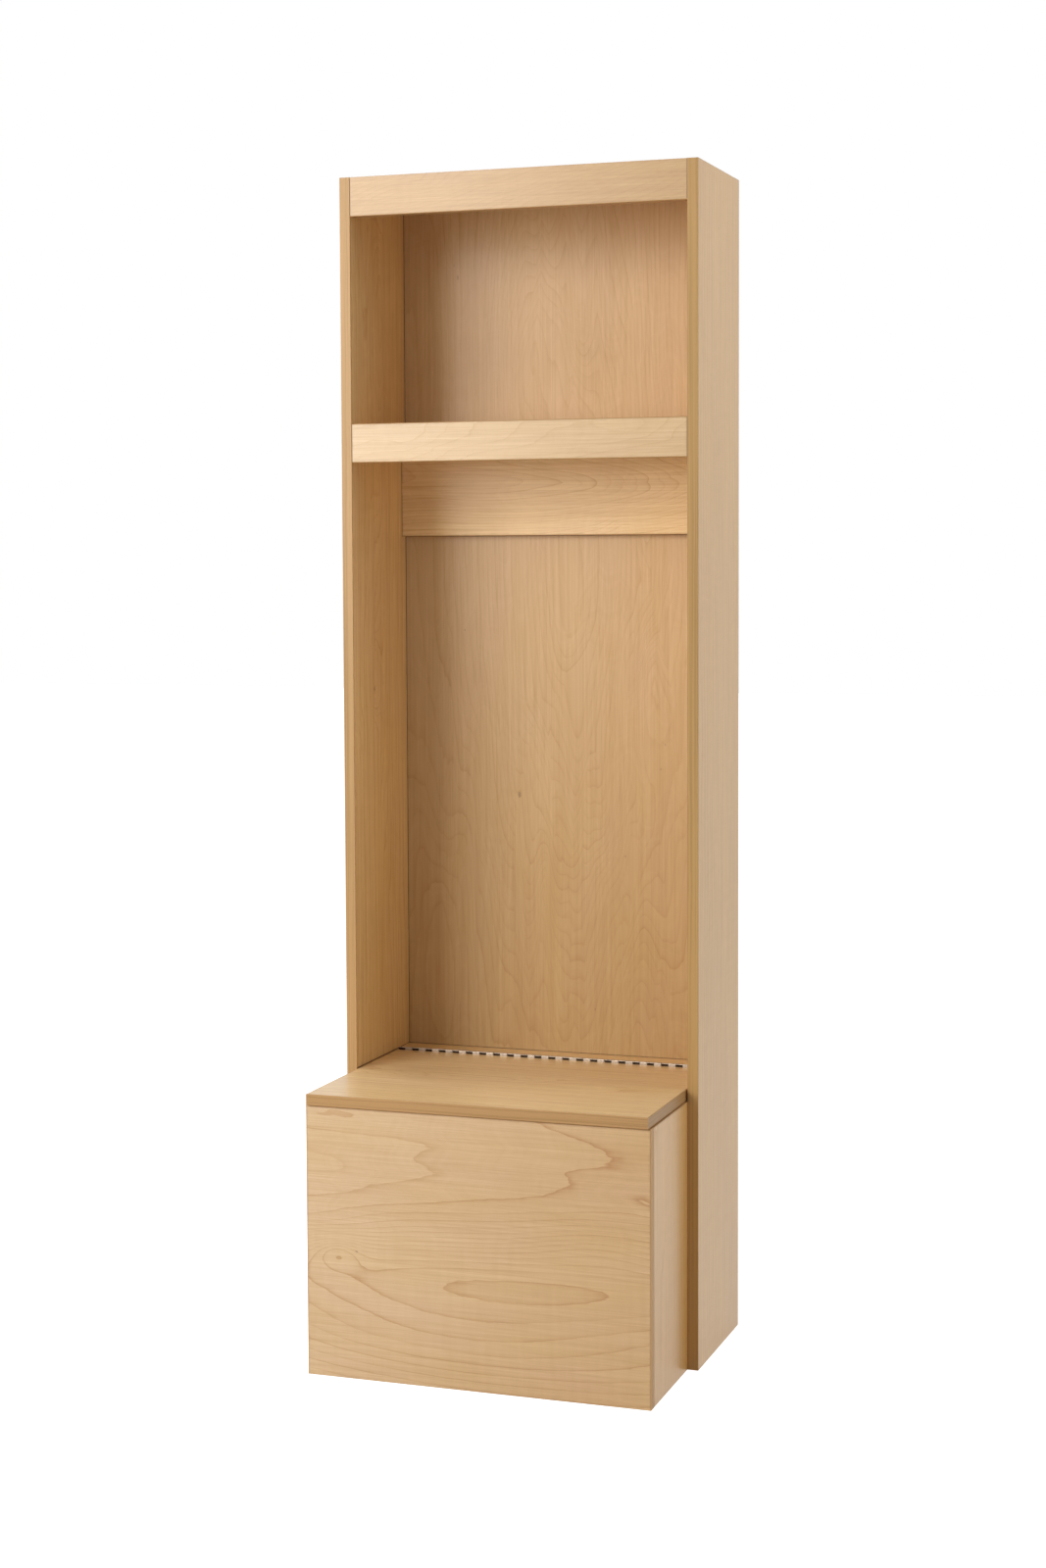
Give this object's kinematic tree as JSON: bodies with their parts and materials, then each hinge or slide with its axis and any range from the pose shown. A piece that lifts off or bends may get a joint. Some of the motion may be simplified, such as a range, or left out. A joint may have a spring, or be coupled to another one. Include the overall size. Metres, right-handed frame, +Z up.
{
  "type": "open hall locker with storage bench",
  "caption": "Tall open-front wooden hall locker with a top shelf, a hook rail under it, and a storage bench whose seat lid lifts on a long hinge.",
  "frame": {"origin": "on the floor under the middle of the whole locker", "axes": "+X is the locker's right as seen from the front, -Y is its front, +Z is up"},
  "size_m": [0.61, 0.476, 1.936],
  "materials": {
    "veneered_board": "pale maple veneer, satin lacquer",
    "edge_band": "wood edge band, satin lacquer",
    "dowel_wood": "bare beech",
    "hinge_steel": "bright nickel plate",
    "pin_steel": "drawn steel wire",
    "screw_steel": "zinc plate",
    "bumper_rubber": "soft clear rubber"
  },
  "bodies": {
    "cabinet": {"back_panel": "veneered_board", "box_bottom": "veneered_board", "box_bottom_cleat": "veneered_board", "box_front": "veneered_board", "box_front_band_left": "edge_band", "box_front_band_right": "edge_band", "box_front_band_top": "edge_band", "box_side_band_left": "edge_band", "box_side_band_right": "edge_band", "box_side_left": "veneered_board", "box_side_right": "veneered_board", "dowels_box": "dowel_wood", "dowels_hook_rail": "dowel_wood", "dowels_ledge": "dowel_wood", "dowels_shelf": "dowel_wood", "dowels_shelf_fascia": "dowel_wood", "dowels_top": "dowel_wood", "dowels_top_fascia": "dowel_wood", "hinge_leaf_fixed": "hinge_steel", "hinge_pin": "pin_steel", "hinge_screws_fixed": "hinge_steel", "hook_rail": "veneered_board", "hook_rail_band": "edge_band", "ledge": "veneered_board", "ledge_cleat": "veneered_board", "lid_bumpers": "bumper_rubber", "screws_back": "screw_steel", "screws_box": "screw_steel", "shelf_fascia": "veneered_board", "shelf_fascia_band_bottom": "edge_band", "shelf_fascia_band_top": "edge_band", "shelf_panel": "veneered_board", "side_band_left": "edge_band", "side_band_right": "edge_band", "side_panel_left": "veneered_board", "side_panel_right": "veneered_board", "top_fascia": "veneered_board", "top_fascia_band_bottom": "edge_band", "top_panel": "veneered_board"},
    "lid": {"hinge_leaf_lid": "hinge_steel", "hinge_screws_lid": "hinge_steel", "lid_band_front": "edge_band", "lid_band_left": "edge_band", "lid_band_right": "edge_band", "lid_panel": "veneered_board"}
  },
  "joints": [
    {"name": "lid_hinge", "type": "hinge", "parent": "cabinet", "child": "lid", "pos_m": [0, 0.1531, 0.4604], "axis": [-1, 0, 0], "range_deg": [0, 99.8]}
  ]
}
